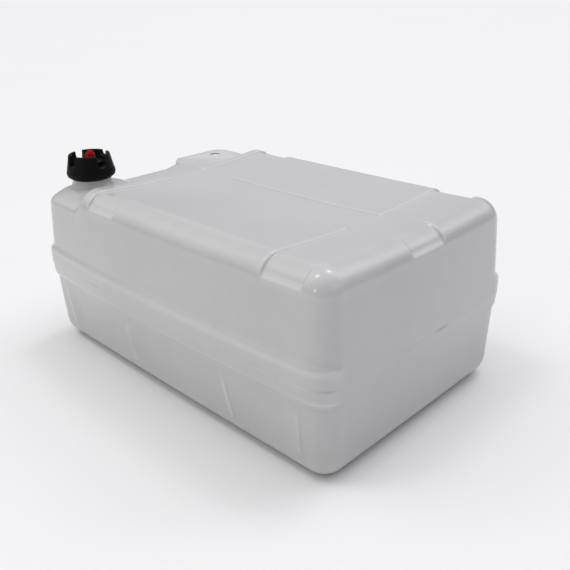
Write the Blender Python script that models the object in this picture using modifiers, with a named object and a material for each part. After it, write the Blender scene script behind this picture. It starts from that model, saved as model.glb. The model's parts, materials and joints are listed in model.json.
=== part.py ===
"""Fresh water tank: a blow-moulded polyethylene tank with a screw cap and a vent knob in the cap.

Frame: +X along the tank's length towards its plain end, +Y across it, +Z up.
The origin is the middle of the tank's footprint, on the surface that it stands on.
"""
import math

import bmesh
import bpy
from mathutils import Matrix, Vector

MM = 0.001

# Moulded body, millimetres
HALF_LENGTH = 300.0
HALF_WIDTH = 187.3
HEIGHT = 269.6
WALL = 3.5
EDGE_RADIUS = 31.0
PARTING_Z = 134.3
UPPER_DRAFT = math.tan(math.radians(2.5))
LOWER_DRAFT = math.tan(math.radians(1.55))
SIDE_BULGE = 11.4
END_BULGE = 4.8
TOP_TAPER = (HEIGHT - PARTING_Z) * UPPER_DRAFT

# Waist band round the long sides
BAND_TOP = (154.0, 163.0)
BAND_BOTTOM = (109.0, 117.0)
BAND_PROUD_TOP = 5.5
BAND_PROUD_BOTTOM = 3.5

# Top deck: a dished face with strap channels
DECK_DISH = 14.0
CHANNEL_DEPTH = 3.5
CHANNEL_SLOPE = 5.0
CHANNEL_Y = (-31.5, 33.5)
CHANNEL_X = ((-159.0, -95.0), (197.0, 259.0))
CHANNEL_FADE_Z = (242.0, 252.0)
DECK_REMAP_Z = 170.0

# Low shelf at the -X end. The neck stands on a pad that rises to it as a flare.
SHELF_STEP_X = (-174.0, -194.0)
SHELF_STEP_SKEW = 0.022
SHELF_LOW_Z = 237.6
NECK_PAD_Z = 245.0
NECK_PAD_Y = (-44.0, -68.0)
NECK_FLARE_RISE = 6.0
NECK_FLARE_RADII = (62.0, 28.0)
NECK_FOOT_Z = 240.0
EAR_PAD_Z = 243.7
EAR_PAD_Y = (40.0, 82.0)
SHELF_EDGE_SQUASH = 0.5

# Ear with its bolt hole, the web that closes its near end, and the pocket under it
EAR_X = (-297.5, -206.0)
EAR_Y = (77.0, 181.5)
EAR_END = ((-206.0, 152.0), (-216.0, 172.0), (-238.0, 181.5))
EAR_ROOT_X = -263.0
EAR_ROOT_Y = (84.0, 100.0)
EAR_TOP_Z = 244.3
EAR_THICKNESS = 3.0
EAR_CORNER_RADIUS = 22.0
EAR_NEAR_RADIUS = 8.0
EAR_HOLE = (-268.0, 147.0)
EAR_HOLE_RADIUS = 9.5
EAR_SUPPORT_Z = 243.6
EAR_SUPPORT_X = (-256.0, -268.0)
EAR_SUPPORT_Y = (64.0, 78.0)
EAR_WEB_X = (-297.0, -262.0)
EAR_WEB_Y = (68.0, 100.0)
EAR_WEB_Z = (222.0, 244.2)
EAR_WEB_CORNER = 20.0
EAR_WEB_EDGE = 4.0
POCKET_FLOOR_Z = 192.0
POCKET_X = (-268.0, -254.0)
POCKET_Y = (84.0, 95.0, 118.0)

# Neck and closure. Heights of the closure are measured from the lower edge of the cap.
NECK_CENTRE = (-253.0, -117.3)
CAP_BOTTOM_Z = 261.5
NECK_BASE_RADIUS = 29.6
NECK_CORE_RADIUS = 27.0
NECK_BORE_RADIUS = 23.5
NECK_RIM_HEIGHT = 11.5
THREAD_PITCH = 6.0
THREAD_CREST_RADIUS = 28.7
THREAD_START = 1.8
THREAD_TURNS = 1.25
CAP_BORE_RADIUS = 29.2
CAP_THREAD_CREST_RADIUS = 27.5
CAP_THREAD_START = THREAD_START + THREAD_PITCH / 2
CAP_THREAD_TURNS = 0.9
GASKET_HEIGHT = (11.8, 14.3)
GASKET_RADII = (22.8, 28.8)
PLATE_HEIGHT = (14.6, 17.8)
CROWN_TOP = 37.0
CROWN_INNER_RADIUS = (24.6, 26.2)
NOTCH_WIDTH = 15.0
NOTCH_SILLS = (18.5, 28.0, 18.5, 18.5)
NOTCH_CORNER = 5.0
NOTCH_START_ANGLE = math.radians(3.0)
HUB_RADIUS = 19.5
HUB_TOP = 25.0
VENT_BORE_RADIUS = 6.2
SEAL_POCKET_RADIUS = 8.6
SEAL_POCKET_DEPTH = 2.3
SEAL_MAJOR_RADIUS = 7.3
SEAL_SECTION_RADIUS = 0.95
KNOB_BASE_RADIUS = 9.6
KNOB_SHOULDER_RADIUS = 8.4
KNOB_TOP_RADIUS = 4.2
KNOB_HEIGHTS = (25.3, 34.0, 41.5)
KNOB_SIDES = 6
STEM_RADIUS = 5.9
STEM_LIP_RADIUS = 7.2
STEM_LIP_HEIGHT = (12.6, 14.3)

TURN_STEPS = 48
THREAD_STEPS_PER_TURN = 28
ARC_STEPS = 4


def smooth(value, start, end):
    """Ease from 0 at start to 1 at end; start may be the larger one."""
    t = min(max((value - start) / (end - start), 0.0), 1.0)
    return t * t * (3.0 - 2.0 * t)


def clamp(value, limit_a, limit_b):
    return min(max(value, limit_a), limit_b)


# ---------------------------------------------------------------- moulded skin

def inside_span(value, span):
    """1 between the two ends of span, 0 outside it, with sloped sides."""
    half = CHANNEL_SLOPE / 2
    rise = smooth(value, span[0] - half, span[0] + half)
    fall = smooth(value, span[1] + half, span[1] - half)
    return rise * fall


def channel_amount(x, y):
    """1 on the floor of a strap channel, 0 on the raised panels."""
    across = max(inside_span(x, span) for span in CHANNEL_X)
    return max(across, inside_span(y, CHANNEL_Y))


def shelf_amount(x, y):
    """0 on the main deck, 1 on the low shelf; the step between them runs slightly askew."""
    return smooth(x - SHELF_STEP_SKEW * y, *SHELF_STEP_X)


def deck_height(x, y):
    """Height of the top surface over the plan point (x, y), without the channels."""
    along = max(0.0, 1.0 - abs(x / HALF_LENGTH) ** 3)
    across = max(0.0, 1.0 - (y / HALF_WIDTH) ** 2)
    deck = HEIGHT - DECK_DISH * along * across
    shelf = SHELF_LOW_Z + (NECK_PAD_Z - SHELF_LOW_Z) * smooth(y, *NECK_PAD_Y)
    from_neck = math.hypot(x - NECK_CENTRE[0], y - NECK_CENTRE[1])
    shelf += NECK_FLARE_RISE * smooth(from_neck, *NECK_FLARE_RADII)
    shelf += (EAR_PAD_Z - SHELF_LOW_Z) * smooth(y, *EAR_PAD_Y)
    support = smooth(x, *EAR_SUPPORT_X) * smooth(y, *EAR_SUPPORT_Y)
    shelf += max(0.0, EAR_SUPPORT_Z - shelf) * support
    return deck + (shelf - deck) * shelf_amount(x, y)


def band_proud(z):
    """How far the waist band stands out of the long sides at height z."""
    share = clamp((z - BAND_BOTTOM[1]) / (BAND_TOP[0] - BAND_BOTTOM[1]), 0.0, 1.0)
    proud = BAND_PROUD_BOTTOM + (BAND_PROUD_TOP - BAND_PROUD_BOTTOM) * share
    return proud * smooth(z, *BAND_BOTTOM) * smooth(z, BAND_TOP[1], BAND_TOP[0])


def skin_point(point, inset):
    """Move a point of the square box round the body onto the skin, inset from the outside."""
    half_x = HALF_LENGTH - inset
    half_y = HALF_WIDTH - inset
    radius = EDGE_RADIUS - inset
    core = Vector((
        clamp(point.x, radius - half_x, half_x - radius),
        clamp(point.y, radius - half_y, half_y - radius),
        clamp(point.z, inset + radius, HEIGHT - inset - radius),
    ))
    normal = (point - core).normalized()
    x, y, z = core + normal * radius

    upper = z > PARTING_Z
    reach = (HEIGHT if upper else 0.0) - PARTING_Z
    pillow = 1.0 - ((z - PARTING_Z) / reach) ** 2
    taper = abs(z - PARTING_Z) * (UPPER_DRAFT if upper else LOWER_DRAFT)
    along = clamp(x / HALF_LENGTH, -1.0, 1.0)
    across = clamp(y / HALF_WIDTH, -1.0, 1.0)
    x *= 1.0 + (END_BULGE * pillow * (1.0 - across ** 2) - taper) / half_x
    y *= 1.0 + (SIDE_BULGE * pillow * (1.0 - along ** 2) - taper) / half_y

    plan = Vector((normal.x, normal.y))
    if plan.length > 0.0:
        facing_side = smooth(abs(plan.normalized().y), 0.0, 0.7)
        proud = band_proud(z) * facing_side * plan.length
        x += plan.normalized().x * proud
        y += plan.normalized().y * proud

    cut = CHANNEL_DEPTH * channel_amount(x, y) * smooth(z, *CHANNEL_FADE_Z)
    on_shelf = shelf_amount(x, y)
    top = deck_height(x, y) - inset
    crown = radius * (1.0 - SHELF_EDGE_SQUASH * on_shelf)
    rounding_start = HEIGHT - inset - radius
    if z > rounding_start:
        z = top - crown + (z - rounding_start) * crown / radius
    elif z > DECK_REMAP_Z:
        share = (z - DECK_REMAP_Z) / (rounding_start - DECK_REMAP_Z)
        z = DECK_REMAP_Z + (top - crown - DECK_REMAP_Z) * share
    return Vector((x, y, z)) - normal * cut * (1.0 - on_shelf)


def arc_offsets(radius, steps):
    """Distances from a box edge that become equal steps round a quarter circle."""
    half_steps = steps // 2
    angles = [math.pi / 4 * i / half_steps for i in range(half_steps)]
    return [radius * (1.0 - math.tan(angle)) for angle in angles]


def span_edges(*spans):
    """The four cuts that hold the sloped sides of each channel."""
    half = CHANNEL_SLOPE / 2
    return [end + side * half for span in spans for end in span for side in (-1, 1)]


def cut_positions(steps):
    """Where the box is cut on each axis so that its features have vertices.

    The draft pulls the top in, so cuts for features of the top are spread by as much.
    """
    spread_x = HALF_LENGTH / (HALF_LENGTH - TOP_TAPER)
    spread_y = HALF_WIDTH / (HALF_WIDTH - TOP_TAPER)
    rounding = arc_offsets(EDGE_RADIUS, steps)
    ends = [sign * (HALF_LENGTH - offset) for sign in (-1, 1) for offset in rounding]
    sides = [sign * (HALF_WIDTH - offset) for sign in (-1, 1) for offset in rounding]
    low_high = rounding + [HEIGHT - offset for offset in rounding]
    step_x = [SHELF_STEP_X[0] + (SHELF_STEP_X[1] - SHELF_STEP_X[0]) * i / 4 for i in range(5)]
    top_x = span_edges(*CHANNEL_X) + step_x + [*EAR_SUPPORT_X, -238.0, -220.0, -30.0, 35.0, 100.0]
    top_y = span_edges(CHANNEL_Y) + [*NECK_PAD_Y, *EAR_PAD_Y, -84.0, -100.0, -117.0, -135.0, 125.0]
    cuts_x = ends + [place * spread_x for place in top_x]
    cuts_y = sides + [place * spread_y for place in top_y]
    cuts_z = low_high + [*BAND_BOTTOM, *BAND_TOP, PARTING_Z, DECK_REMAP_Z]
    return cuts_x, cuts_y, cuts_z


def skin_object(name, inset, steps):
    """The closed skin of the body as a mesh: a cut-up box, moved onto the moulded shape."""
    bm = bmesh.new()
    bmesh.ops.create_cube(bm, size=1.0)
    size = (2 * (HALF_LENGTH - inset), 2 * (HALF_WIDTH - inset), HEIGHT - 2 * inset)
    bmesh.ops.scale(bm, vec=size, verts=bm.verts)
    bmesh.ops.translate(bm, vec=(0.0, 0.0, HEIGHT / 2), verts=bm.verts)
    axes = (Vector((1, 0, 0)), Vector((0, 1, 0)), Vector((0, 0, 1)))
    for axis, cuts in zip(axes, cut_positions(steps)):
        for place in cuts:
            everything = bm.verts[:] + bm.edges[:] + bm.faces[:]
            bmesh.ops.bisect_plane(bm, geom=everything, dist=1e-4, plane_co=axis * place, plane_no=axis)
    for vert in bm.verts:
        vert.co = skin_point(vert.co, inset) * MM
    return new_object(name, bm)


# ------------------------------------------------------------- modelling tools

def new_object(name, bm):
    mesh = bpy.data.meshes.new(name)
    bm.to_mesh(mesh)
    bm.free()
    return bpy.data.objects.new(name, mesh)


def turned(name, profile, steps=TURN_STEPS, closed=True):
    """A solid turned about +Z from (radius, height) points that run down its outer side.

    A closed profile makes a ring; an open one starts and ends on the axis.
    """
    mesh = bpy.data.meshes.new(name)
    points = [(radius * MM, 0.0, height * MM) for radius, height in profile]
    edges = [(i, i + 1) for i in range(len(points) - 1)]
    if closed:
        edges.append((len(points) - 1, 0))
    mesh.from_pydata(points, edges, [])
    obj = bpy.data.objects.new(name, mesh)
    screw = obj.modifiers.new("Turn", "SCREW")
    screw.steps = steps
    screw.render_steps = steps
    screw.use_merge_vertices = True
    screw.merge_threshold = 1e-6
    return obj


def add_primitive(name, create, **settings):
    bm = bmesh.new()
    create(bm, **settings)
    return new_object(name, bm)


def cylinder(name, radius, z_span, segments=TURN_STEPS):
    """A solid cylinder on +Z between two heights."""
    low, high = z_span
    middle = Matrix.Translation((0.0, 0.0, (low + high) / 2 * MM))
    return add_primitive(
        name, bmesh.ops.create_cone, cap_ends=True, segments=segments,
        radius1=radius * MM, radius2=radius * MM, depth=(high - low) * MM, matrix=middle)


def flattened(obj):
    """Replace an object by one that holds its evaluated mesh, with any open ends closed."""
    graph = bpy.context.evaluated_depsgraph_get()
    mesh = bpy.data.meshes.new_from_object(obj.evaluated_get(graph))
    bm = bmesh.new()
    bm.from_mesh(mesh)
    open_edges = [edge for edge in bm.edges if edge.is_boundary]
    bmesh.ops.holes_fill(bm, edges=open_edges, sides=0)
    bmesh.ops.recalc_face_normals(bm, faces=bm.faces)
    name = obj.name
    bpy.data.objects.remove(obj)
    bpy.data.meshes.remove(mesh)
    return new_object(name, bm)


def helix(name, root_radius, crest_radius, root_width, crest_width, start_height, turns):
    """A screw-thread ridge on +Z, whose middle starts at start_height on +X."""
    mesh = bpy.data.meshes.new(name)
    corners = [
        (crest_radius, crest_width / 2), (crest_radius, -crest_width / 2),
        (root_radius, -root_width / 2), (root_radius, root_width / 2),
    ]
    points = [(radius * MM, 0.0, (start_height + offset) * MM) for radius, offset in corners]
    mesh.from_pydata(points, [(0, 1), (1, 2), (2, 3), (3, 0)], [])
    obj = bpy.data.objects.new(name, mesh)
    screw = obj.modifiers.new("Helix", "SCREW")
    screw.angle = 2 * math.pi * turns
    screw.screw_offset = THREAD_PITCH * turns * MM
    screw.steps = round(THREAD_STEPS_PER_TURN * turns)
    screw.render_steps = screw.steps
    CUTTERS.objects.link(obj)
    ridge = flattened(obj)
    return ridge


def combine(target, tool, operation):
    """Add a Boolean with a hidden tool object to target."""
    if tool.name not in CUTTERS.objects:
        CUTTERS.objects.link(tool)
    tool.hide_render = True
    tool.display_type = "WIRE"
    modifier = target.modifiers.new(tool.name, "BOOLEAN")
    modifier.operation = operation
    modifier.object = tool
    modifier.solver = "EXACT"


def material(name, colour, roughness, metallic=0.0):
    result = bpy.data.materials.new(name)
    result.use_nodes = True
    shader = result.node_tree.nodes["Principled BSDF"]
    shader.inputs["Base Color"].default_value = (*colour, 1.0)
    shader.inputs["Roughness"].default_value = roughness
    shader.inputs["Metallic"].default_value = metallic
    return result


def finish(obj, surface, sharp_degrees, parent=None):
    """Link a finished part, give it its material and smooth its round faces."""
    PARTS.objects.link(obj)
    obj.data.materials.append(surface)
    obj.data.shade_smooth()
    obj.data.set_sharp_from_angle(angle=math.radians(sharp_degrees))
    if parent:
        obj.parent = parent


def at_neck(obj):
    """Stand a tool on the neck's axis, with its zero height at the lower edge of the cap."""
    obj.location = (NECK_CENTRE[0] * MM, NECK_CENTRE[1] * MM, CAP_BOTTOM_Z * MM)
    return obj


# ------------------------------------------------------------------ the parts

def rounded(centre, radius, first_angle, steps=6):
    """Points of a quarter circle in plan, turning left from first_angle in degrees."""
    angles = [math.radians(first_angle + 90.0 * i / steps) for i in range(steps + 1)]
    return [(centre[0] + radius * math.cos(a), centre[1] + radius * math.sin(a)) for a in angles]


def plate(name, points, z_span):
    """A flat outline in plan, extruded between two heights."""
    curve = bpy.data.curves.new(name, "CURVE")
    curve.dimensions = "2D"
    curve.fill_mode = "BOTH"
    curve.extrude = (z_span[1] - z_span[0]) / 2 * MM
    outline = curve.splines.new("POLY")
    outline.points.add(len(points) - 1)
    for point, (x, y) in zip(outline.points, points):
        point.co = (x * MM, y * MM, 0.0, 1.0)
    outline.use_cyclic_u = True
    blank = bpy.data.objects.new(name + "_outline", curve)
    CUTTERS.objects.link(blank)
    graph = bpy.context.evaluated_depsgraph_get()
    mesh = bpy.data.meshes.new_from_object(blank.evaluated_get(graph))
    bpy.data.objects.remove(blank)
    bm = bmesh.new()
    bm.from_mesh(mesh)
    bpy.data.meshes.remove(mesh)
    bmesh.ops.remove_doubles(bm, verts=bm.verts, dist=1e-6)
    bmesh.ops.recalc_face_normals(bm, faces=bm.faces)
    solid = new_object(name, bm)
    solid.location = (0.0, 0.0, (z_span[0] + z_span[1]) / 2 * MM)
    return solid


def make_ear():
    """The flat ear: narrow where it leaves the shelf, wide round its bolt hole."""
    outer = EAR_CORNER_RADIUS
    inner = EAR_NEAR_RADIUS
    points = [(EAR_ROOT_X, EAR_Y[0]), (EAR_ROOT_X, EAR_ROOT_Y[0]), (EAR_X[1], EAR_ROOT_Y[1]), *EAR_END]
    points += rounded((EAR_X[0] + outer, EAR_Y[1] - outer), outer, 90.0)
    points += rounded((EAR_X[0] + inner, EAR_Y[0] + inner), inner, 180.0)
    return plate("ear_solid", points, (EAR_TOP_Z - EAR_THICKNESS, EAR_TOP_Z))


def make_ear_web():
    """The rounded block under the ear's near end, which joins it to the shelf."""
    low, high = EAR_WEB_X
    near, far = EAR_WEB_Y
    points = [(high, far), (low, far)]
    points += rounded((low + EAR_WEB_CORNER, near + EAR_WEB_CORNER), EAR_WEB_CORNER, 180.0)
    points.append((high, near))
    web = plate("ear_web", points, EAR_WEB_Z)
    bevel = web.modifiers.new("Round edges", "BEVEL")
    bevel.width = EAR_WEB_EDGE * MM
    bevel.segments = 3
    bevel.angle_limit = math.radians(60)
    return web


def make_pocket(name, grown):
    """The space under the ear, open at the tank's corner, grown by a wall thickness."""
    near, narrow_end, wide_start = POCKET_Y
    beyond = HALF_LENGTH + 30.0
    points = [
        (-beyond, near - grown), (POCKET_X[0] + grown, near - grown),
        (POCKET_X[0] + grown, narrow_end - grown / 2), (POCKET_X[1] + grown, wide_start - grown / 2),
        (POCKET_X[1] + grown, HALF_WIDTH + 40.0), (-beyond, HALF_WIDTH + 40.0),
    ]
    return plate(name, points, (POCKET_FLOOR_Z - grown, HEIGHT))


def make_neck():
    """The neck as a turned ring: a flared foot, a plain collar and the threaded core."""
    foot = NECK_FOOT_Z - CAP_BOTTOM_Z
    collar_top = -0.6
    profile = [
        (NECK_CORE_RADIUS - 0.8, NECK_RIM_HEIGHT), (NECK_CORE_RADIUS, NECK_RIM_HEIGHT - 0.8),
        (NECK_CORE_RADIUS, collar_top), (NECK_BASE_RADIUS - 0.6, collar_top),
        (NECK_BASE_RADIUS, collar_top - 0.6), (NECK_BASE_RADIUS, foot + 20.0),
        (NECK_BASE_RADIUS + 0.9, foot + 15.0), (NECK_BASE_RADIUS + 2.6, foot + 11.5),
        (NECK_BASE_RADIUS + 4.8, foot + 8.5), (NECK_BASE_RADIUS + 6.2, foot + 4.0),
        (NECK_BASE_RADIUS + 6.2, foot), (NECK_BORE_RADIUS, foot), (NECK_BORE_RADIUS, NECK_RIM_HEIGHT),
    ]
    return at_neck(turned("neck_ring", profile))


def make_tank():
    """The hollow moulded tank with its neck, thread, ear and bolt hole."""
    tank = skin_object("tank_shell", 0.0, ARC_STEPS)
    cavity = skin_object("tank_cavity", WALL, 2)
    combine(cavity, make_pocket("pocket_wall", WALL), "DIFFERENCE")
    combine(tank, make_ear_web(), "UNION")
    combine(tank, make_pocket("ear_pocket", 0.0), "DIFFERENCE")
    combine(tank, cavity, "DIFFERENCE")
    bore_bottom = NECK_PAD_Z - 21.0 - CAP_BOTTOM_Z
    combine(tank, at_neck(cylinder("neck_bore", NECK_BORE_RADIUS, (bore_bottom, 20.0))), "DIFFERENCE")
    combine(tank, make_neck(), "UNION")
    thread = helix(
        "neck_thread", NECK_CORE_RADIUS - 0.6, THREAD_CREST_RADIUS, 3.2, 1.2, THREAD_START, THREAD_TURNS)
    combine(tank, at_neck(thread), "UNION")
    combine(tank, make_ear(), "UNION")
    hole = cylinder("ear_hole", EAR_HOLE_RADIUS, (EAR_TOP_Z - 20.0, EAR_TOP_Z + 20.0), 32)
    hole.location = (EAR_HOLE[0] * MM, EAR_HOLE[1] * MM, 0.0)
    combine(tank, hole, "DIFFERENCE")
    natural = material("natural_polyethylene", (0.60, 0.60, 0.595), 0.42)
    finish(tank, natural, 35.0)


def make_cap(axis):
    """The cap: a skirt over the neck, a floor with the vent's hub, and a castellated crown."""
    profile = [
        (31.2, 0.0), (CAP_BORE_RADIUS + 0.3, 0.0), (CAP_BORE_RADIUS, 0.6),
        (CAP_BORE_RADIUS, PLATE_HEIGHT[0]), (VENT_BORE_RADIUS, PLATE_HEIGHT[0]),
        (VENT_BORE_RADIUS, HUB_TOP - SEAL_POCKET_DEPTH), (SEAL_POCKET_RADIUS, HUB_TOP - SEAL_POCKET_DEPTH),
        (SEAL_POCKET_RADIUS, HUB_TOP), (HUB_RADIUS - 0.8, HUB_TOP), (HUB_RADIUS, HUB_TOP - 0.8),
        (HUB_RADIUS, PLATE_HEIGHT[1]), (CROWN_INNER_RADIUS[0], PLATE_HEIGHT[1]),
        (CROWN_INNER_RADIUS[1], CROWN_TOP - 0.8), (CROWN_INNER_RADIUS[1] + 0.8, CROWN_TOP),
        (30.0, CROWN_TOP), (31.4, CROWN_TOP - 1.0), (33.0, 28.0), (35.6, 16.0), (37.3, 9.5),
        (36.4, 4.6),
    ]
    cap = turned("cap_body", profile)
    for i, sill in enumerate(NOTCH_SILLS):
        notch = add_primitive(f"crown_notch_{i + 1}", bmesh.ops.create_cube, size=1.0)
        depth = 20.0
        tall = 30.0
        sink = Matrix.Diagonal((depth * MM, NOTCH_WIDTH * MM, tall * MM, 1.0))
        notch.data.transform(sink)
        notch.location = ((22.3 + depth / 2) * MM, 0.0, (sill + tall / 2) * MM)
        bevel = notch.modifiers.new("Round sill", "BEVEL")
        bevel.width = NOTCH_CORNER * MM
        bevel.segments = 4
        bevel.limit_method = "WEIGHT"
        mark_sill(notch)
        turn = NOTCH_START_ANGLE + i * 2 * math.pi / len(NOTCH_SILLS)
        notch.matrix_world = Matrix.Rotation(turn, 4, "Z") @ Matrix.Translation(notch.location)
        notch.parent = axis
        combine(cap, notch, "DIFFERENCE")
    ridge = helix(
        "cap_thread", CAP_BORE_RADIUS + 0.6, CAP_THREAD_CREST_RADIUS, 2.2, 0.9,
        CAP_THREAD_START, CAP_THREAD_TURNS)
    ridge.parent = axis
    combine(cap, ridge, "UNION")
    black = material("black_polypropylene", (0.012, 0.012, 0.012), 0.45)
    finish(cap, black, 32.0, axis)


def mark_sill(notch):
    """Give the two lower edges that run along the notch a bevel weight."""
    mesh = notch.data
    weights = mesh.attributes.new("bevel_weight_edge", "FLOAT", "EDGE")
    for edge in mesh.edges:
        a, b = (mesh.vertices[i].co for i in edge.vertices)
        lies_low = a.z < 0.0 and b.z < 0.0
        along_notch = abs(a.x - b.x) > abs(a.y - b.y)
        weights.data[edge.index].value = 1.0 if lies_low and along_notch else 0.0


def make_gasket(axis):
    """The flat sealing ring between the neck's rim and the cap's floor."""
    inner, outer = GASKET_RADII
    low, high = GASKET_HEIGHT
    ring = turned("cap_gasket", [(outer, high), (outer, low), (inner, low), (inner, high)])
    finish(ring, material("grey_gasket_rubber", (0.20, 0.20, 0.20), 0.7), 32.0, axis)


def make_vent_knob(axis):
    """The vent knob: a six-sided tapered grip on a round stem with a snap lip."""
    low, shoulder, top = KNOB_HEIGHTS
    grip = [
        (0.0, top), (KNOB_TOP_RADIUS, top), (KNOB_SHOULDER_RADIUS, shoulder), (KNOB_BASE_RADIUS, low),
        (0.0, low),
    ]
    knob = turned("vent_knob", grip, KNOB_SIDES, closed=False)
    bevel = knob.modifiers.new("Soft edges", "BEVEL")
    bevel.width = 0.9 * MM
    bevel.segments = 2
    lip_low, lip_high = STEM_LIP_HEIGHT
    stem_profile = [
        (0.0, low + 2.0), (STEM_RADIUS, low + 2.0), (STEM_RADIUS, lip_high), (STEM_LIP_RADIUS, lip_high),
        (STEM_LIP_RADIUS - 1.0, lip_low), (0.0, lip_low),
    ]
    stem = turned("vent_stem", stem_profile, 32, closed=False)
    stem.parent = axis
    combine(knob, stem, "UNION")
    finish(knob, material("red_polypropylene", (0.42, 0.012, 0.018), 0.38), 30.0, axis)


def make_vent_seal(axis):
    """The ring seal between the vent knob's stem and the hub."""
    height = HUB_TOP - SEAL_POCKET_DEPTH + SEAL_SECTION_RADIUS + 0.15
    angles = [-2 * math.pi * i / 12 for i in range(12)]
    section = [
        (SEAL_MAJOR_RADIUS + SEAL_SECTION_RADIUS * math.cos(a), height + SEAL_SECTION_RADIUS * math.sin(a))
        for a in angles
    ]
    ring = turned("vent_o_ring", section, 32)
    finish(ring, material("black_seal_rubber", (0.02, 0.02, 0.02), 0.6), 60.0, axis)


def clear_scene():
    for obj in list(bpy.data.objects):
        bpy.data.objects.remove(obj)


clear_scene()
PARTS = bpy.data.collections.new("fresh_water_tank")
CUTTERS = bpy.data.collections.new("cutters")
bpy.context.scene.collection.children.link(PARTS)
bpy.context.scene.collection.children.link(CUTTERS)

neck_axis = bpy.data.objects.new("neck_axis", None)
PARTS.objects.link(neck_axis)
at_neck(neck_axis)
bpy.context.view_layer.update()

make_tank()
make_cap(neck_axis)
make_gasket(neck_axis)
make_vent_knob(neck_axis)
make_vent_seal(neck_axis)
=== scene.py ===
"""Looks of the fresh water tank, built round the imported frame."""
import json
import math

import bmesh
import bpy
import numpy as np
from mathutils import Matrix, Vector


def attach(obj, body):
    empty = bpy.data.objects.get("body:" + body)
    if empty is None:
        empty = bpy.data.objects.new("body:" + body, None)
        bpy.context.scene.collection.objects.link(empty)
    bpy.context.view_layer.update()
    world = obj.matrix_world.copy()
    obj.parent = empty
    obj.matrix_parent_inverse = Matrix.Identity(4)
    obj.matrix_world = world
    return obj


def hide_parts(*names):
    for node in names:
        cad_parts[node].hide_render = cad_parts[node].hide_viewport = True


MM = 0.001

# Moulded body, millimetres, as in the CAD part
HALF_LENGTH = 300.0
HALF_WIDTH = 187.3
HEIGHT = 269.6
WALL = 3.5
EDGE_RADIUS = 31.0
PARTING_Z = 134.3
UPPER_DRAFT = math.tan(math.radians(2.5))
LOWER_DRAFT = math.tan(math.radians(1.55))
SIDE_BULGE = 11.4
END_BULGE = 4.8
TOP_TAPER = (HEIGHT - PARTING_Z) * UPPER_DRAFT

BAND_TOP = (154.0, 163.0)
BAND_BOTTOM = (109.0, 117.0)
BAND_PROUD_TOP = 5.5
BAND_PROUD_BOTTOM = 3.5

DECK_DISH = 14.0
CHANNEL_DEPTH = 3.5
CHANNEL_SLOPE = 5.0
CHANNEL_Y = (-31.5, 33.5)
CHANNEL_X = ((-159.0, -95.0), (197.0, 259.0))
CHANNEL_FADE_Z = (242.0, 252.0)
DECK_REMAP_Z = 170.0

SHELF_STEP_X = (-174.0, -194.0)
SHELF_STEP_SKEW = 0.022
SHELF_LOW_Z = 237.6
NECK_PAD_Z = 245.0
NECK_PAD_Y = (-44.0, -68.0)
NECK_FLARE_RISE = 6.0
NECK_FLARE_RADII = (62.0, 28.0)
NECK_FOOT_Z = 240.0
EAR_PAD_Z = 243.7
EAR_PAD_Y = (40.0, 82.0)
SHELF_EDGE_SQUASH = 0.5

EAR_X = (-297.5, -206.0)
EAR_Y = (77.0, 181.5)
EAR_END = ((-206.0, 152.0), (-216.0, 172.0), (-238.0, 181.5))
EAR_ROOT_X = -263.0
EAR_ROOT_Y = (84.0, 100.0)
EAR_TOP_Z = 244.3
EAR_THICKNESS = 3.0
EAR_CORNER_RADIUS = 22.0
EAR_NEAR_RADIUS = 8.0
EAR_HOLE = (-268.0, 147.0)
EAR_HOLE_RADIUS = 9.5
EAR_SUPPORT_Z = 243.6
EAR_SUPPORT_X = (-256.0, -268.0)
EAR_SUPPORT_Y = (64.0, 78.0)
EAR_WEB_X = (-297.0, -262.0)
EAR_WEB_Y = (68.0, 100.0)
EAR_WEB_Z = (222.0, 244.2)
EAR_WEB_CORNER = 20.0
EAR_WEB_EDGE = 4.0
POCKET_FLOOR_Z = 192.0
POCKET_X = (-268.0, -254.0)
POCKET_Y = (84.0, 95.0, 118.0)

# Slanting flutes low on the long walls: (x at the top, lean, rise width, fall width, height)
FLUTES = (
    (-250.0, 0.17, 5.0, 40.0, 2.0),
    (-74.0, 0.17, 5.0, 40.0, 2.0),
    (134.0, 0.17, 6.0, 6.0, 2.2),
    (256.0, 0.05, 30.0, 6.0, 2.2),
)
FLUTE_Z = (28.0, 42.0, 86.0, 98.0)

CAP_BOTTOM_Z = 261.5
NECK_BASE_RADIUS = 29.6
NECK_CORE_RADIUS = 27.0
NECK_BORE_RADIUS = 23.5
NECK_RIM_HEIGHT = 11.5
THREAD_PITCH = 6.0
THREAD_CREST_RADIUS = 28.7
THREAD_START = 1.8
CAP_BORE_RADIUS = 29.2
PLATE_HEIGHT = (14.6, 17.8)
CROWN_TOP = 37.0
HUB_RADIUS = 19.5
HUB_TOP = 25.0
VENT_BORE_RADIUS = 6.2
SEAL_POCKET_RADIUS = 8.6
SEAL_POCKET_DEPTH = 2.3
SEAL_MAJOR_RADIUS = 7.3
SEAL_SECTION_RADIUS = 0.95
GASKET_HEIGHT = (11.8, 14.3)
GASKET_RADII = (22.8, 28.8)
NOTCH_WIDTH = 15.0
NOTCH_SILLS = (18.5, 28.0, 18.5, 18.5)
NOTCH_CORNER = 5.0
NOTCH_START_ANGLE = 3.0

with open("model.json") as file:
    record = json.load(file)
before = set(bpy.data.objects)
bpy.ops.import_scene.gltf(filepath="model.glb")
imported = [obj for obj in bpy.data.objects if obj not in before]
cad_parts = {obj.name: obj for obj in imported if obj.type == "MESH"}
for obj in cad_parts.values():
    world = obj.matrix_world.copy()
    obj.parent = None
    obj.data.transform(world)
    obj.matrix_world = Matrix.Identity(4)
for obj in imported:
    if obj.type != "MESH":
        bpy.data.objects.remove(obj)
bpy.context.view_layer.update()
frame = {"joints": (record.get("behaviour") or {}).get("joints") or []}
JOINTS = {joint["name"]: joint for joint in frame["joints"]}
NECK_AXIS = Vector(JOINTS["cap_turn"]["pos_m"])


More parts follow.
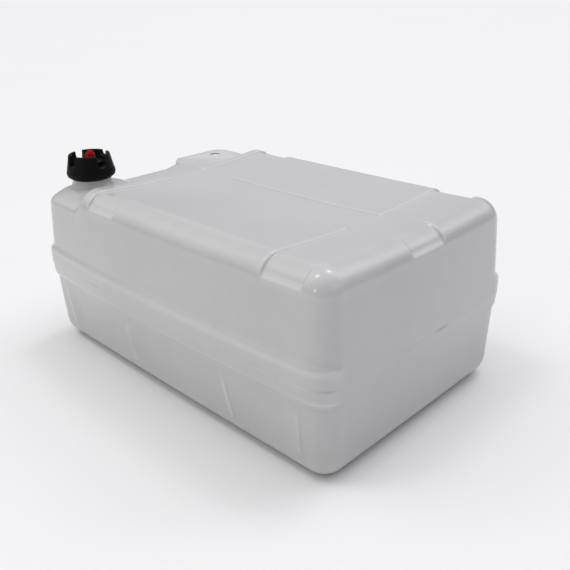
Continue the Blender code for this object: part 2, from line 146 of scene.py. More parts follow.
# ------------------------------------------------------------------ helpers

def ease(value, start, end):
    t = np.clip((value - start) / (end - start), 0.0, 1.0)
    return t * t * (3.0 - 2.0 * t)


def mesh_object(name, points, faces, collection=None):
    mesh = bpy.data.meshes.new(name)
    mesh.from_pydata([tuple(p) for p in points], [], faces)
    mesh.update()
    obj = bpy.data.objects.new(name, mesh)
    (collection or bpy.context.scene.collection).objects.link(obj)
    return obj


def baked(obj):
    """Apply an object's modifiers and place to its mesh."""
    bpy.context.view_layer.update()
    graph = bpy.context.evaluated_depsgraph_get()
    mesh = bpy.data.meshes.new_from_object(obj.evaluated_get(graph))
    mesh.transform(obj.matrix_world)
    old = obj.data
    obj.modifiers.clear()
    obj.data = mesh
    obj.matrix_world = Matrix.Identity(4)
    if old.users == 0 and isinstance(old, bpy.types.Mesh):
        bpy.data.meshes.remove(old)
    return obj


def cut(target, tool, operation="DIFFERENCE"):
    """Boolean a tool into target at once and remove the tool."""
    modifier = target.modifiers.new("cut", "BOOLEAN")
    modifier.operation = operation
    modifier.object = tool
    modifier.solver = "EXACT"
    baked(target)
    bpy.data.objects.remove(tool)


def rounded(centre, radius, first_angle, sweep=90.0, steps=10):
    angles = np.radians(first_angle + sweep * np.arange(steps + 1) / steps)
    return [(centre[0] + radius * math.cos(a), centre[1] + radius * math.sin(a)) for a in angles]


def plate(name, outline, z_low, z_high, bevel=0.0, segments=4):
    """A closed outline in plan (millimetres, turning left), raised between two heights."""
    bm = bmesh.new()
    ring = [bm.verts.new((x * MM, y * MM, z_low * MM)) for x, y in outline]
    face = bm.faces.new(ring)
    raised = bmesh.ops.extrude_face_region(bm, geom=[face])["geom"]
    top = [item for item in raised if isinstance(item, bmesh.types.BMVert)]
    bmesh.ops.translate(bm, vec=(0.0, 0.0, (z_high - z_low) * MM), verts=top)
    bmesh.ops.recalc_face_normals(bm, faces=bm.faces)
    mesh = bpy.data.meshes.new(name)
    bm.to_mesh(mesh)
    bm.free()
    obj = bpy.data.objects.new(name, mesh)
    bpy.context.scene.collection.objects.link(obj)
    if bevel:
        rounding = obj.modifiers.new("round", "BEVEL")
        rounding.width = bevel * MM
        rounding.segments = segments
        rounding.limit_method = "ANGLE"
        rounding.angle_limit = math.radians(50)
        baked(obj)
    return obj


def rimmed(obj, width):
    """Give a level plate's two large faces a narrow border, so that the painted edge highlight stays at the
    edge.
    """
    bm = bmesh.new()
    bm.from_mesh(obj.data)
    level = [face for face in bm.faces if abs(face.normal.z) > 0.999]
    for face in sorted(level, key=lambda item: -item.calc_area())[:2]:
        bmesh.ops.inset_individual(bm, faces=[face], thickness=width * MM)
    bm.to_mesh(obj.data)
    bm.free()
    return obj


def lathe(name, profile, steps, relief=None):
    """A ring turned about the neck's axis from a closed profile of (radius, height) in millimetres."""
    count = len(profile)
    angles = 2 * math.pi * np.arange(steps) / steps
    points = []
    for angle in angles:
        for radius, height in profile:
            r = radius + (relief(angle, radius, height) if relief else 0.0)
            points.append((r * math.cos(angle) * MM, r * math.sin(angle) * MM, height * MM))
    faces = []
    for i in range(steps):
        j = (i + 1) % steps
        for k in range(count):
            m = (k + 1) % count
            faces.append((i * count + k, i * count + m, j * count + m, j * count + k))
    obj = mesh_object(name, points, faces)
    obj.data.transform(Matrix.Translation(NECK_AXIS))
    bm = bmesh.new()
    bm.from_mesh(obj.data)
    bmesh.ops.recalc_face_normals(bm, faces=bm.faces)
    bm.to_mesh(obj.data)
    bm.free()
    return obj


def soft_profile(corners, radius, steps=3):
    """Round the corners of a closed (radius, height) profile."""
    result = []
    count = len(corners)
    for i, corner in enumerate(corners):
        here = Vector(corner)
        before = Vector(corners[i - 1]) - here
        after = Vector(corners[(i + 1) % count]) - here
        reach = min(radius, before.length * 0.45, after.length * 0.45)
        start = here + before.normalized() * reach
        end = here + after.normalized() * reach
        for k in range(steps + 1):
            t = k / steps
            result.append(tuple(start * (1 - t) ** 2 + here * 2 * t * (1 - t) + end * t ** 2))
    return result


def helix(name, root_radius, crest_radius, root_width, crest_width, start_height, turns, steps_per_turn=72):
    """A thread ridge about the neck's axis that tapers away at both ends."""
    count = round(steps_per_turn * turns)
    points = []
    for i in range(count + 1):
        share = i / count
        fade = min(1.0, share / 0.08, (1.0 - share) / 0.08)
        angle = 2 * math.pi * turns * share
        height = start_height + THREAD_PITCH * turns * share
        crest = root_radius + (crest_radius - root_radius) * (0.35 + 0.65 * fade)
        section = [
            (crest, crest_width / 2), (crest, -crest_width / 2),
            (root_radius, -root_width / 2), (root_radius, root_width / 2),
        ]
        for radius, offset in section:
            points.append((radius * math.cos(angle) * MM, radius * math.sin(angle) * MM,
                           (height + offset) * MM))
    faces = []
    for i in range(count):
        for k in range(4):
            a, b = i * 4 + k, i * 4 + (k + 1) % 4
            faces.append((a, b, b + 4, a + 4))
    faces.append((0, 1, 2, 3))
    faces.append(tuple(count * 4 + k for k in (3, 2, 1, 0)))
    obj = mesh_object(name, points, faces)
    obj.data.transform(Matrix.Translation(NECK_AXIS))
    bm = bmesh.new()
    bm.from_mesh(obj.data)
    bmesh.ops.recalc_face_normals(bm, faces=bm.faces)
    bm.to_mesh(obj.data)
    bm.free()
    return obj


def smooth_shading(obj, degrees):
    obj.data.shade_smooth()
    obj.data.set_sharp_from_angle(angle=math.radians(degrees))


# -------------------------------------------------------------- moulded skin

def inside_span(value, span):
    half = CHANNEL_SLOPE / 2
    return ease(value, span[0] - half, span[0] + half) * ease(value, span[1] + half, span[1] - half)


def channel_amount(x, y):
    across = np.maximum(*(inside_span(x, span) for span in CHANNEL_X))
    return np.maximum(across, inside_span(y, CHANNEL_Y))


def shelf_amount(x, y):
    return ease(x - SHELF_STEP_SKEW * y, *SHELF_STEP_X)


def deck_height(x, y):
    along = np.maximum(0.0, 1.0 - np.abs(x / HALF_LENGTH) ** 3)
    across = np.maximum(0.0, 1.0 - (y / HALF_WIDTH) ** 2)
    deck = HEIGHT - DECK_DISH * along * across
    shelf = SHELF_LOW_Z + (NECK_PAD_Z - SHELF_LOW_Z) * ease(y, *NECK_PAD_Y)
    from_neck = np.hypot(x - NECK_AXIS.x / MM, y - NECK_AXIS.y / MM)
    shelf = shelf + NECK_FLARE_RISE * ease(from_neck, *NECK_FLARE_RADII)
    shelf = shelf + (EAR_PAD_Z - SHELF_LOW_Z) * ease(y, *EAR_PAD_Y)
    support = ease(x, *EAR_SUPPORT_X) * ease(y, *EAR_SUPPORT_Y)
    shelf = shelf + np.maximum(0.0, EAR_SUPPORT_Z - shelf) * support
    return deck + (shelf - deck) * shelf_amount(x, y)


def band_proud(z):
    share = np.clip((z - BAND_BOTTOM[1]) / (BAND_TOP[0] - BAND_BOTTOM[1]), 0.0, 1.0)
    proud = BAND_PROUD_BOTTOM + (BAND_PROUD_TOP - BAND_PROUD_BOTTOM) * share
    return proud * ease(z, *BAND_BOTTOM) * ease(z, BAND_TOP[1], BAND_TOP[0])


def flute_relief(x, z):
    """Height of the slanting flutes on the long walls."""
    height = np.zeros_like(x)
    for top_x, lean, rise, fall, amount in FLUTES:
        middle = top_x + (93.0 - z) * lean
        height += amount * ease(x, middle - rise, middle) * ease(x, middle + fall, middle)
    z0, z1, z2, z3 = FLUTE_Z
    return height * ease(z, z0, z1) * ease(z, z3, z2)


def skin_points(box_points, inset, detail):
    """Move points of the square box round the body onto the moulded skin."""
    half = np.array([HALF_LENGTH - inset, HALF_WIDTH - inset])
    radius = EDGE_RADIUS - inset
    low = np.array([radius - half[0], radius - half[1], inset + radius])
    high = np.array([half[0] - radius, half[1] - radius, HEIGHT - inset - radius])
    core = np.clip(box_points, low, high)
    normal = box_points - core
    normal /= np.linalg.norm(normal, axis=1)[:, None]
    x, y, z = (core + normal * radius).T

    reach = np.where(z > PARTING_Z, HEIGHT - PARTING_Z, PARTING_Z)
    pillow = 1.0 - ((z - PARTING_Z) / reach) ** 2
    taper = np.abs(z - PARTING_Z) * np.where(z > PARTING_Z, UPPER_DRAFT, LOWER_DRAFT)
    along = np.clip(x / HALF_LENGTH, -1.0, 1.0)
    across = np.clip(y / HALF_WIDTH, -1.0, 1.0)
    x = x * (1.0 + (END_BULGE * pillow * (1.0 - across ** 2) - taper) / half[0])
    y = y * (1.0 + (SIDE_BULGE * pillow * (1.0 - along ** 2) - taper) / half[1])

    flat = np.hypot(normal[:, 0], normal[:, 1])
    out_x = np.divide(normal[:, 0], flat, out=np.zeros_like(flat), where=flat > 1e-9)
    out_y = np.divide(normal[:, 1], flat, out=np.zeros_like(flat), where=flat > 1e-9)
    facing_side = ease(np.abs(out_y), 0.0, 0.7)
    proud = band_proud(z) * facing_side
    if detail:
        proud = proud + flute_relief(x, z) * facing_side
        proud = proud + 0.35 * np.exp(-((z - PARTING_Z) / 0.55) ** 2)
    x = x + out_x * proud * flat
    y = y + out_y * proud * flat

    groove = CHANNEL_DEPTH * channel_amount(x, y) * ease(z, *CHANNEL_FADE_Z)
    on_shelf = shelf_amount(x, y)
    top = deck_height(x, y) - inset
    crown = radius * (1.0 - SHELF_EDGE_SQUASH * on_shelf)
    rounding_start = HEIGHT - inset - radius
    share = np.clip((z - DECK_REMAP_Z) / (rounding_start - DECK_REMAP_Z), 0.0, 1.0)
    wall_z = DECK_REMAP_Z + (top - crown - DECK_REMAP_Z) * share
    crown_z = top - crown + (z - rounding_start) * crown / radius
    z = np.where(z > rounding_start, crown_z, np.where(z > DECK_REMAP_Z, wall_z, z))
    return np.stack([x, y, z], axis=1) - normal * (groove * (1.0 - on_shelf))[:, None]


def filled(marks, spacing):
    """Sorted positions with extra ones wherever a gap is wider than the spacing."""
    marks = sorted(set(round(m, 4) for m in marks))
    result = [marks[0]]
    for a, b in zip(marks, marks[1:]):
        if b - a < 0.05:
            continue
        pieces = max(1, math.ceil((b - a) / spacing))
        result += [a + (b - a) * (i + 1) / pieces for i in range(pieces)]
    return result


def edge_marks(low, high, steps):
    angles = [math.pi / 4 * i / steps for i in range(steps + 1)]
    offsets = [EDGE_RADIUS * (1.0 - math.tan(a)) for a in angles]
    return [low + o for o in offsets] + [high - o for o in offsets]


def around(centre, reach, step):
    count = round(2 * reach / step)
    return [centre - reach + 2 * reach * i / count for i in range(count + 1)]


def box_grid(xs, ys, zs):
    """The surface of a box as one closed grid of quads."""
    axes = (xs, ys, zs)
    last = [len(axis) - 1 for axis in axes]
    index = {}
    points = []

    def vertex(i, j, k):
        key = (i, j, k)
        if key not in index:
            index[key] = len(points)
            points.append((xs[i], ys[j], zs[k]))
        return index[key]

    faces = []
    for fixed in range(3):
        u, v = (fixed + 1) % 3, (fixed + 2) % 3
        for side in (0, last[fixed]):
            for a in range(last[u]):
                for b in range(last[v]):
                    corners = []
                    for da, db in ((0, 0), (1, 0), (1, 1), (0, 1)):
                        place = [0, 0, 0]
                        place[fixed] = side
                        place[u] = a + da
                        place[v] = b + db
                        corners.append(vertex(*place))
                    faces.append(corners if side else corners[::-1])
    return np.array(points), faces


def skin_mesh(name, inset, spacing, steps, detail):
    top_x = 1.0 - TOP_TAPER / HALF_LENGTH
    top_y = 1.0 - TOP_TAPER / HALF_WIDTH
    half_x = HALF_LENGTH - inset
    half_y = HALF_WIDTH - inset
    xs = edge_marks(-half_x, half_x, steps)
    ys = edge_marks(-half_y, half_y, steps)
    zs = edge_marks(inset, HEIGHT - inset, steps)
    fine = spacing / 5
    for end in [end for span in CHANNEL_X for end in span]:
        xs += around(end / top_x, CHANNEL_SLOPE * 0.8, fine)
    xs += around(sum(SHELF_STEP_X) / 2 / top_x, 15.0, 2 * fine)
    xs += [(EAR_SUPPORT_X[0] + (EAR_SUPPORT_X[1] - EAR_SUPPORT_X[0]) * i / 4) / top_x for i in range(5)]
    for end in CHANNEL_Y:
        ys += around(end / top_y, CHANNEL_SLOPE * 0.8, fine)
    for start, end in (NECK_PAD_Y, EAR_PAD_Y, EAR_SUPPORT_Y):
        ys += [(start + (end - start) * i / 6) / top_y for i in range(7)]
    for start, end in (BAND_TOP, BAND_BOTTOM):
        zs += around((start + end) / 2, (end - start) * 0.7, 2 * fine)
    if detail:
        zs += around(PARTING_Z, 1.5, 0.25)
        for top_place, lean, _, _, _ in FLUTES:
            xs += around(top_place + 30.0 * lean, 16.0, 2 * fine)
    points, faces = box_grid(filled(xs, spacing), filled(ys, spacing), filled(zs, spacing))
    return mesh_object(name, skin_points(points, inset, detail) * MM, faces)


def ear_outline():
    outer = EAR_CORNER_RADIUS
    inner = EAR_NEAR_RADIUS
    outline = [(EAR_ROOT_X, EAR_Y[0]), (EAR_ROOT_X, EAR_ROOT_Y[0]), (EAR_X[1], EAR_ROOT_Y[1]), *EAR_END]
    outline += rounded((EAR_X[0] + outer, EAR_Y[1] - outer), outer, 90.0)
    outline += rounded((EAR_X[0] + inner, EAR_Y[0] + inner), inner, 180.0)
    return outline


def ear_web():
    low, high = EAR_WEB_X
    near, far = EAR_WEB_Y
    outline = [(high, far), (low, far)]
    outline += rounded((low + EAR_WEB_CORNER, near + EAR_WEB_CORNER), EAR_WEB_CORNER, 180.0)
    outline.append((high, near))
    return plate("ear_web", outline, *EAR_WEB_Z, bevel=EAR_WEB_EDGE, segments=6)


def pocket(name, grown):
    near, narrow_end, wide_start = POCKET_Y
    beyond = HALF_LENGTH + 30.0
    outline = [
        (-beyond, near - grown), (POCKET_X[0] + grown, near - grown),
        (POCKET_X[0] + grown, narrow_end - grown / 2), (POCKET_X[1] + grown, wide_start - grown / 2),
        (POCKET_X[1] + grown, HALF_WIDTH + 40.0), (-beyond, HALF_WIDTH + 40.0),
    ]
    return plate(name, outline, POCKET_FLOOR_Z - grown, HEIGHT, bevel=5.0)


def neck_ring():
    foot = NECK_FOOT_Z - CAP_BOTTOM_Z
    collar_top = -0.6
    base = NECK_BASE_RADIUS
    outer = [
        (NECK_CORE_RADIUS, NECK_RIM_HEIGHT), (NECK_CORE_RADIUS, collar_top), (base, collar_top),
        (base, foot + 20.0), (base + 0.9, foot + 15.0), (base + 2.6, foot + 11.5),
        (base + 4.8, foot + 8.5), (base + 6.2, foot + 4.0), (base + 6.2, foot),
        (NECK_BORE_RADIUS, foot), (NECK_BORE_RADIUS, NECK_RIM_HEIGHT),
    ]
    return lathe("neck_ring", soft_profile(outer, 1.2), 120)


def bore_cylinder(name, radius, z_low, z_high, centre, segments=96):
    bm = bmesh.new()
    middle = Matrix.Translation((centre[0] * MM, centre[1] * MM, (z_low + z_high) / 2 * MM))
    bmesh.ops.create_cone(
        bm, cap_ends=True, segments=segments, radius1=radius * MM, radius2=radius * MM,
        depth=(z_high - z_low) * MM, matrix=middle)
    mesh = bpy.data.meshes.new(name)
    bm.to_mesh(mesh)
    bm.free()
    obj = bpy.data.objects.new(name, mesh)
    bpy.context.scene.collection.objects.link(obj)
    return obj


def build_tank():
    tank = skin_mesh("tank_moulding", 0.0, 6.0, 8, True)
    cut(tank, ear_web(), "UNION")
    cut(tank, pocket("ear_pocket", 0.0))
    cavity = skin_mesh("cavity", WALL, 10.0, 5, False)
    cut(cavity, pocket("pocket_wall", WALL))
    cut(tank, cavity)
    centre = (NECK_AXIS.x / MM, NECK_AXIS.y / MM)
    cut(tank, bore_cylinder("neck_bore", NECK_BORE_RADIUS, NECK_PAD_Z - 21.0, 290.0, centre))
    cut(tank, neck_ring(), "UNION")
    thread = helix("neck_thread", NECK_CORE_RADIUS - 0.6, THREAD_CREST_RADIUS, 3.2, 1.2, THREAD_START, 1.25)
    cut(tank, thread, "UNION")
    ear = rimmed(plate("ear", ear_outline(), EAR_TOP_Z - EAR_THICKNESS, EAR_TOP_Z, bevel=1.1), 1.0)
    cut(ear, bore_cylinder("ear_hole", EAR_HOLE_RADIUS, 220.0, 260.0, EAR_HOLE, 64))
    cut(tank, ear, "UNION")
    smooth_shading(tank, 38.0)
    return tank


# ----------------------------------------------------------------- closure

def build_cap():
    corners = [
        (31.2, 0.0), (CAP_BORE_RADIUS, 0.0), (CAP_BORE_RADIUS, PLATE_HEIGHT[0]),
        (VENT_BORE_RADIUS, PLATE_HEIGHT[0]), (VENT_BORE_RADIUS, HUB_TOP - SEAL_POCKET_DEPTH),
        (SEAL_POCKET_RADIUS, HUB_TOP - SEAL_POCKET_DEPTH), (SEAL_POCKET_RADIUS, HUB_TOP),
        (HUB_RADIUS, HUB_TOP), (HUB_RADIUS, PLATE_HEIGHT[1]), (24.6, PLATE_HEIGHT[1]),
        (26.2, CROWN_TOP - 0.8), (26.8, CROWN_TOP), (30.2, CROWN_TOP), (31.4, CROWN_TOP - 1.0),
        (32.2, 32.0), (33.0, 28.0), (34.2, 22.0), (35.6, 16.0), (36.6, 12.0), (37.3, 9.5), (37.1, 7.0),
        (36.2, 4.0), (33.4, 1.6),
    ]
    ribs = 46

    def relief(angle, radius, height):
        if radius < 30.4 or not 10.0 < height < 35.0:
            return 0.0
        fade = float(ease(height, 10.0, 14.0) * ease(height, 35.0, 31.0))
        return -0.28 * fade * (0.5 - 0.5 * math.cos(ribs * angle)) ** 2

    cap = lathe("screw_cap", soft_profile(corners, 0.7), ribs * 6, relief)
    for i, sill in enumerate(NOTCH_SILLS):
        centre = NOTCH_START_ANGLE + 90.0 * i
        half = NOTCH_WIDTH / 2
        outline = [(-half, 70.0), (-half, sill + NOTCH_CORNER)]
        outline += rounded((-half + NOTCH_CORNER, sill + NOTCH_CORNER), NOTCH_CORNER, 180.0, steps=6)[1:]
        outline += rounded((half - NOTCH_CORNER, sill + NOTCH_CORNER), NOTCH_CORNER, 270.0, steps=6)
        outline += [(half, 70.0)]
        tool = plate("notch", outline, 22.3, 45.0)
        stand = Matrix(((0, 0, 1, 0), (1, 0, 0, 0), (0, 1, 0, 0), (0, 0, 0, 1)))
        tool.data.transform(stand)
        tool.data.transform(Matrix.Rotation(math.radians(centre), 4, "Z"))
        tool.data.transform(Matrix.Translation(NECK_AXIS))
        cut(cap, tool)
    ridge = helix("cap_thread", CAP_BORE_RADIUS + 0.6, 27.5, 2.2, 0.9, THREAD_START + THREAD_PITCH / 2, 0.9)
    cut(cap, ridge, "UNION")
    smooth_shading(cap, 35.0)
    return cap


def build_knob():
    """The vent knob: a tapered grip with six sides and a slanting top, on its round stem."""
    sections = ((9.3, 25.3, 0.3), (9.2, 27.0, 0.4), (8.8, 33.0, 0.9), (7.4, 37.0, 1.6), (3.6, 41.0, 2.4))
    lean = Vector((0.49, 0.87, 0.0))
    bm = bmesh.new()
    rings = []
    for radius, height, shift in sections:
        ring = []
        for i in range(6):
            angle = math.radians(60.0 * i + 12.0)
            tilt = -0.12 * radius * math.cos(angle - math.radians(40.0)) if height > 36.0 else 0.0
            place = Vector((radius * math.cos(angle), radius * math.sin(angle), height + tilt))
            ring.append(bm.verts.new(NECK_AXIS + (place + shift * lean) * MM))
        rings.append(ring)
    for a, b in zip(rings, rings[1:]):
        for i in range(6):
            j = (i + 1) % 6
            bm.faces.new((a[i], a[j], b[j], b[i]))
    bm.faces.new(rings[0][::-1])
    bm.faces.new(rings[-1])
    mesh = bpy.data.meshes.new("knob_grip")
    bm.to_mesh(mesh)
    bm.free()
    knob = bpy.data.objects.new("knob_grip", mesh)
    bpy.context.scene.collection.objects.link(knob)
    soften = knob.modifiers.new("soften", "BEVEL")
    soften.width = 0.7 * MM
    soften.segments = 3
    soften.limit_method = "ANGLE"
    soften.angle_limit = math.radians(18)
    baked(knob)
    centre = (NECK_AXIS.x / MM, NECK_AXIS.y / MM)
    stem = bore_cylinder("stem", 5.9, CAP_BOTTOM_Z + 12.6, CAP_BOTTOM_Z + 27.0, centre, 48)
    cut(knob, stem, "UNION")
    lip = lathe("stem_lip", [(7.2, 14.3), (6.2, 12.6), (4.0, 12.6), (4.0, 14.3)], 48)
    cut(knob, lip, "UNION")
    smooth_shading(knob, 30.0)
    return knob


def build_gasket():
    low_z, high_z = GASKET_HEIGHT
    inner, outer = GASKET_RADII
    section = soft_profile([(outer, high_z), (outer, low_z), (inner, low_z), (inner, high_z)], 0.5)
    ring = lathe("gasket_ring", section, 128)
    smooth_shading(ring, 40.0)
    return ring


def build_seal():
    height = HUB_TOP - SEAL_POCKET_DEPTH + SEAL_SECTION_RADIUS + 0.15
    section = rounded((SEAL_MAJOR_RADIUS, height), SEAL_SECTION_RADIUS, 0.0, 360.0, 16)[:-1]
    ring = lathe("seal_ring", section, 96)
    smooth_shading(ring, 60.0)
    return ring


# ---------------------------------------------------------------- materials

class Nodes:
    """A short way to build a material's node tree."""

    def __init__(self, name):
        self.material = bpy.data.materials.new(name)
        self.material.use_nodes = True
        self.tree = self.material.node_tree
        self.shader = self.tree.nodes["Principled BSDF"]
        self.place = self.tree.nodes.new("ShaderNodeTexCoord").outputs["Object"]

    def add(self, kind, inputs=None, **settings):
        node = self.tree.nodes.new(kind)
        for key, value in settings.items():
            setattr(node, key, value)
        for key, value in (inputs or {}).items():
            self.feed(node.inputs[key], value)
        return node

    def feed(self, socket, value):
        if isinstance(value, bpy.types.NodeSocket):
            self.tree.links.new(value, socket)
        else:
            socket.default_value = value

    def set(self, **values):
        for key, value in values.items():
            self.feed(self.shader.inputs[key.replace("_", " ")], value)

    def stretched(self, scale):
        return self.add("ShaderNodeMapping", {"Vector": self.place, "Scale": scale}).outputs["Vector"]

    def noise(self, scale, detail=4.0, roughness=0.5, stretch=None):
        place = self.stretched(stretch) if stretch else self.place
        settings = {"Vector": place, "Scale": scale, "Detail": detail, "Roughness": roughness}
        return self.add("ShaderNodeTexNoise", settings).outputs["Fac"]

    def specks(self, scale, size):
        """1 in small spots scattered over the surface, 0 elsewhere."""
        cells = self.add("ShaderNodeTexVoronoi", {"Vector": self.place, "Scale": scale})
        return self.span(cells.outputs["Distance"], size, size * 0.4, 0.0, 1.0)

    def span(self, value, low, high, new_low, new_high):
        inputs = {"Value": value, "From Min": low, "From Max": high, "To Min": new_low, "To Max": new_high}
        return self.add("ShaderNodeMapRange", inputs).outputs["Result"]

    def math(self, operation, *values):
        node = self.add("ShaderNodeMath", operation=operation)
        for socket, value in zip(node.inputs, values):
            self.feed(socket, value)
        return node.outputs["Value"]

    def product(self, *values):
        result = values[0]
        for value in values[1:]:
            result = self.math("MULTIPLY", result, value)
        return result

    def mix(self, share, first, second):
        node = self.add("ShaderNodeMix", data_type="RGBA")
        sockets = {socket.identifier: socket for socket in node.inputs}
        self.feed(sockets["Factor_Float"], share)
        self.feed(sockets["A_Color"], first)
        self.feed(sockets["B_Color"], second)
        return next(socket for socket in node.outputs if socket.identifier == "Result_Color")

    def scaled(self, colour, amount):
        node = self.add("ShaderNodeVectorMath", {"Vector": colour, "Scale": amount}, operation="SCALE")
        return node.outputs["Vector"]

    def height(self):
        return self.add("ShaderNodeSeparateXYZ", {"Vector": self.place}).outputs["Z"]

    def edges(self):
        """Above 0.5 on raised edges and below it in hollows."""
        return self.add("ShaderNodeNewGeometry").outputs["Pointiness"]

    def bump(self, *layers):
        """Stack (height, strength, distance in millimetres) layers of bump on the shader's normal."""
        normal = None
        for height, strength, distance in layers:
            inputs = {"Height": height, "Strength": strength, "Distance": distance * MM}
            node = self.add("ShaderNodeBump", inputs)
            if normal:
                self.feed(node.inputs["Normal"], normal)
            normal = node.outputs["Normal"]
        self.feed(self.shader.inputs["Normal"], normal)


def tank_material():
    """Natural polyethylene off the blow mould: faint flow marks, grain and scuffs, with painted shade
    darkening the walls towards the foot, painted highlights on raised edges and painted light in hollows.
    """
    m = Nodes("natural_polyethylene")
    blotches = m.noise(5.5, 3.0)
    mottle = m.noise(42.0, 5.0, 0.6)
    flow = m.noise(5.0, 3.0, 0.5, (5.0, 5.0, 0.8))
    scratch = m.noise(26.0, 2.0, 0.5, (1.0, 1.6, 26.0))
    patches = m.noise(3.2, 2.0)
    height = m.height()
    # painted shade: the walls darken towards the foot, patchy with the mottle
    dust_and_painted_shade = m.product(m.span(height, 0.14, 0.0, 0.0, 1.0), m.span(mottle, 0.35, 0.65, 0.8, 1.0))
    # painted highlight: raised edges are lightened by up to a fifth
    painted_edge_highlight = m.span(m.edges(), 0.502, 0.53, 1.0, 1.20)
    # painted light: hollows and creases are lightened against the shade that falls in them
    painted_crease_light = m.span(m.edges(), 0.498, 0.46, 1.0, 1.16)
    seam = m.math("ABSOLUTE", m.math("SUBTRACT", height, PARTING_Z * MM))
    seam_scuff = m.product(m.span(seam, 0.0028, 0.0006, 0.0, 1.0),
                           m.span(m.noise(16.0), 0.60, 0.72, 0.0, 1.0))
    dirt = m.product(m.specks(52.0, 0.055), m.span(patches, 0.56, 0.66, 0.0, 1.0))

    shade = m.product(
        m.span(blotches, 0.3, 0.7, 0.968, 1.03), m.span(mottle, 0.3, 0.7, 0.985, 1.013),
        m.span(flow, 0.3, 0.7, 0.995, 1.005), m.span(dust_and_painted_shade, 0.0, 1.0, 1.0, 0.84),
        painted_edge_highlight, painted_crease_light, m.span(scratch, 0.66, 0.74, 1.0, 1.03))
    tint = m.mix(m.span(patches, 0.35, 0.65, 0.0, 1.0),
                 (0.553, 0.552, 0.552, 1.0), (0.548, 0.549, 0.553, 1.0))
    clean = m.scaled(tint, shade)
    scuffed = m.mix(m.product(seam_scuff, 0.45), clean, (0.20, 0.195, 0.19, 1.0))
    colour = m.mix(m.product(dirt, 0.55), scuffed, (0.16, 0.155, 0.15, 1.0))
    roughness = m.math("ADD", m.span(mottle, 0.3, 0.7, 0.30, 0.38), m.span(scratch, 0.66, 0.74, 0.0, 0.10))
    m.set(Base_Color=colour, Roughness=roughness, IOR=1.51, Coat_Weight=0.6, Coat_Roughness=0.09)
    m.bump((m.noise(24.0, 2.0), 0.3, 0.4), (m.noise(130.0, 3.0), 0.2, 0.06),
           (m.noise(1100.0, 2.0), 0.2, 0.02))
    return m.material


def moulded_material(name, colour, edge_colour, roughness, specular, grain=0.03):
    """A coloured moulding: pale worn edges, a little dust and a fine grain."""
    m = Nodes(name)
    cloud = m.noise(70.0, 4.0, 0.6)
    fine = m.noise(420.0, 3.0)
    worn = m.product(m.span(m.edges(), 0.515, 0.60, 0.0, 0.8), m.span(cloud, 0.35, 0.6, 0.2, 1.0))
    dust_and_painted_shade = m.span(fine, 0.60, 0.78, 0.0, 0.05)
    base = m.scaled((*colour[:3],), m.span(cloud, 0.3, 0.7, 0.86, 1.16))
    shown = m.mix(worn, base, (*edge_colour, 1.0))
    dusty = m.mix(dust_and_painted_shade, shown, (0.22, 0.22, 0.21, 1.0))
    m.set(Base_Color=dusty, Roughness=m.span(cloud, 0.3, 0.7, roughness - 0.06, roughness + 0.08),
          IOR=1.49, Specular_IOR_Level=specular)
    m.bump((cloud, 0.3, 0.12), (fine, 0.3, grain))
    return m.material


def rubber_material(name, colour):
    """Matt rubber with a powdery bloom."""
    m = Nodes(name)
    bloom = m.noise(180.0, 4.0, 0.65)
    pale = tuple(min(1.0, c * 1.8 + 0.02) for c in colour)
    m.set(Base_Color=m.mix(m.span(bloom, 0.45, 0.75, 0.0, 0.8), (*colour, 1.0), (*pale, 1.0)),
          Roughness=m.span(bloom, 0.3, 0.7, 0.62, 0.8))
    m.bump((bloom, 0.4, 0.05))
    return m.material


def floor_material():
    m = Nodes("pale_floor")
    m.set(Base_Color=m.scaled((0.90, 0.90, 0.90), m.span(m.noise(1.2), 0.3, 0.7, 0.995, 1.005)),
          Roughness=0.7)
    return m.material


# -------------------------------------------------------------------- stage

# The studio's soft light: (direction it comes from, how narrow it is, colour and strength)
LIGHT_LOBES = (
    ((0.08, -0.12, 0.99), 3.0, (0.98, 0.98, 1.01)),
    ((0.33, 0.74, 0.56), 40.0, (1.75, 1.75, 1.85)),
    ((0.2, 0.55, 0.8), 14.0, (1.50, 1.50, 1.57)),
    ((-0.64, 0.64, 0.41), 8.0, (0.66, 0.66, 0.68)),
    ((-0.64, -0.39, 0.62), 10.0, (1.46, 1.44, 1.42)),
    ((-0.3, -1.0, 0.5), 2.0, (0.10, 0.098, 0.095)),
    ((-0.26, -0.30, 0.91), 300.0, (14.0, 14.0, 14.2)),
    ((-0.02, 0.36, 0.93), 300.0, (14.0, 14.0, 14.2)),
    ((0.05, -0.94, 0.35), 300.0, (9.0, 8.9, 8.8)),
    ((0.87, 0.0, 0.49), 300.0, (3.2, 3.2, 3.2)),
)


def build_floor():
    bm = bmesh.new()
    bmesh.ops.create_grid(bm, x_segments=1, y_segments=1, size=40.0)
    mesh = bpy.data.meshes.new("floor")
    bm.to_mesh(mesh)
    bm.free()
    floor = bpy.data.objects.new("floor", mesh)
    bpy.context.scene.collection.objects.link(floor)
    floor.data.materials.append(floor_material())


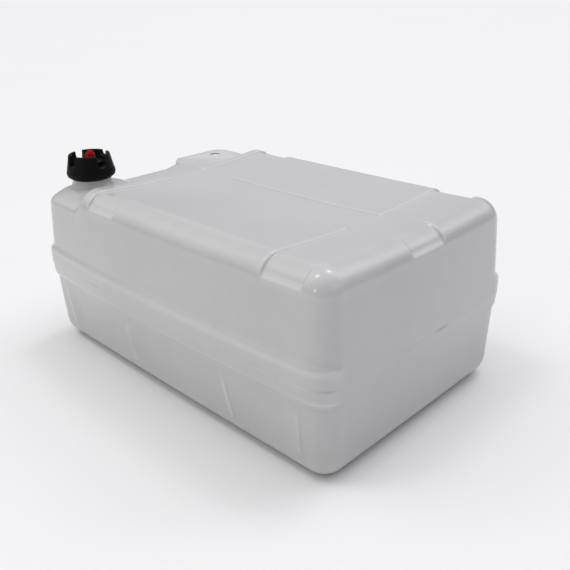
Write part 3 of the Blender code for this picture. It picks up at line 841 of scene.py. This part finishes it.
def build_light():
    """A dome of soft light, brightest overhead and towards the back."""
    world = bpy.data.worlds.new("studio")
    world.use_nodes = True
    nodes, links = world.node_tree.nodes, world.node_tree.links
    direction = nodes.new("ShaderNodeTexCoord").outputs["Generated"]
    total = None
    for toward, narrowness, colour in LIGHT_LOBES:
        facing = nodes.new("ShaderNodeVectorMath")
        facing.operation = "DOT_PRODUCT"
        facing.inputs[1].default_value = Vector(toward).normalized()
        links.new(direction, facing.inputs[0])
        lit = nodes.new("ShaderNodeMath")
        lit.operation = "MAXIMUM"
        links.new(facing.outputs["Value"], lit.inputs[0])
        lit.inputs[1].default_value = 0.0
        shaped = nodes.new("ShaderNodeMath")
        shaped.operation = "POWER"
        links.new(lit.outputs["Value"], shaped.inputs[0])
        shaped.inputs[1].default_value = narrowness
        lobe = nodes.new("ShaderNodeVectorMath")
        lobe.operation = "SCALE"
        lobe.inputs[0].default_value = colour
        links.new(shaped.outputs["Value"], lobe.inputs["Scale"])
        if total:
            both = nodes.new("ShaderNodeVectorMath")
            links.new(total, both.inputs[0])
            links.new(lobe.outputs["Vector"], both.inputs[1])
            total = both.outputs["Vector"]
        else:
            total = lobe.outputs["Vector"]
    background = nodes["Background"]
    links.new(total, background.inputs["Color"])
    background.inputs["Strength"].default_value = 1.0
    bpy.context.scene.world = world
    bpy.context.scene.view_settings.view_transform = "Standard"


def build_camera():
    yaw, pitch, roll = (math.radians(a) for a in (45.02, 24.51, 1.35))
    offset = Vector((-37.8, -21.63, 1055.43)) * MM
    forward = Vector((-math.sin(yaw) * math.cos(pitch), math.cos(yaw) * math.cos(pitch), -math.sin(pitch)))
    level = Vector((math.cos(yaw), math.sin(yaw), 0.0))
    down = forward.cross(level)
    right = math.cos(roll) * level + math.sin(roll) * down
    low = -math.sin(roll) * level + math.cos(roll) * down
    target = Vector((0.0, 0.0, HEIGHT / 2 * MM))
    place = target - right * offset.x - low * offset.y - forward * offset.z
    camera = bpy.data.cameras.new("camera")
    camera.sensor_width = 36.0
    camera.lens = 693.88 * 36.0 / 570.0
    camera.clip_end = 200.0
    obj = bpy.data.objects.new("camera", camera)
    turn = Matrix((right, -low, -forward)).transposed().to_4x4()
    obj.matrix_world = Matrix.Translation(place) @ turn
    bpy.context.scene.collection.objects.link(obj)
    bpy.context.scene.camera = obj


def show(piece, surface, body, node):
    """Give a finished piece its material and put it in the place of a CAD node."""
    piece.data.materials.clear()
    piece.data.materials.append(surface)
    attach(piece, body)
    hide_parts(node)


build_camera()
build_floor()
build_light()

show(build_tank(), tank_material(), "tank", "tank_shell")
black = moulded_material("black_polypropylene", (0.0052, 0.0058, 0.0054), (0.022, 0.023, 0.022), 0.50, 0.10)
show(build_cap(), black, "cap", "cap_body")
show(build_gasket(), rubber_material("grey_gasket_rubber", (0.17, 0.17, 0.17)),
     "lift", "cap_gasket")
red = moulded_material("red_polypropylene", (0.34, 0.004, 0.007), (0.40, 0.008, 0.012), 0.50, 0.06)
show(build_knob(), red, "vent", "vent_knob")
show(build_seal(), rubber_material("black_seal_rubber", (0.018, 0.018, 0.018)),
     "vent", "vent_o_ring")
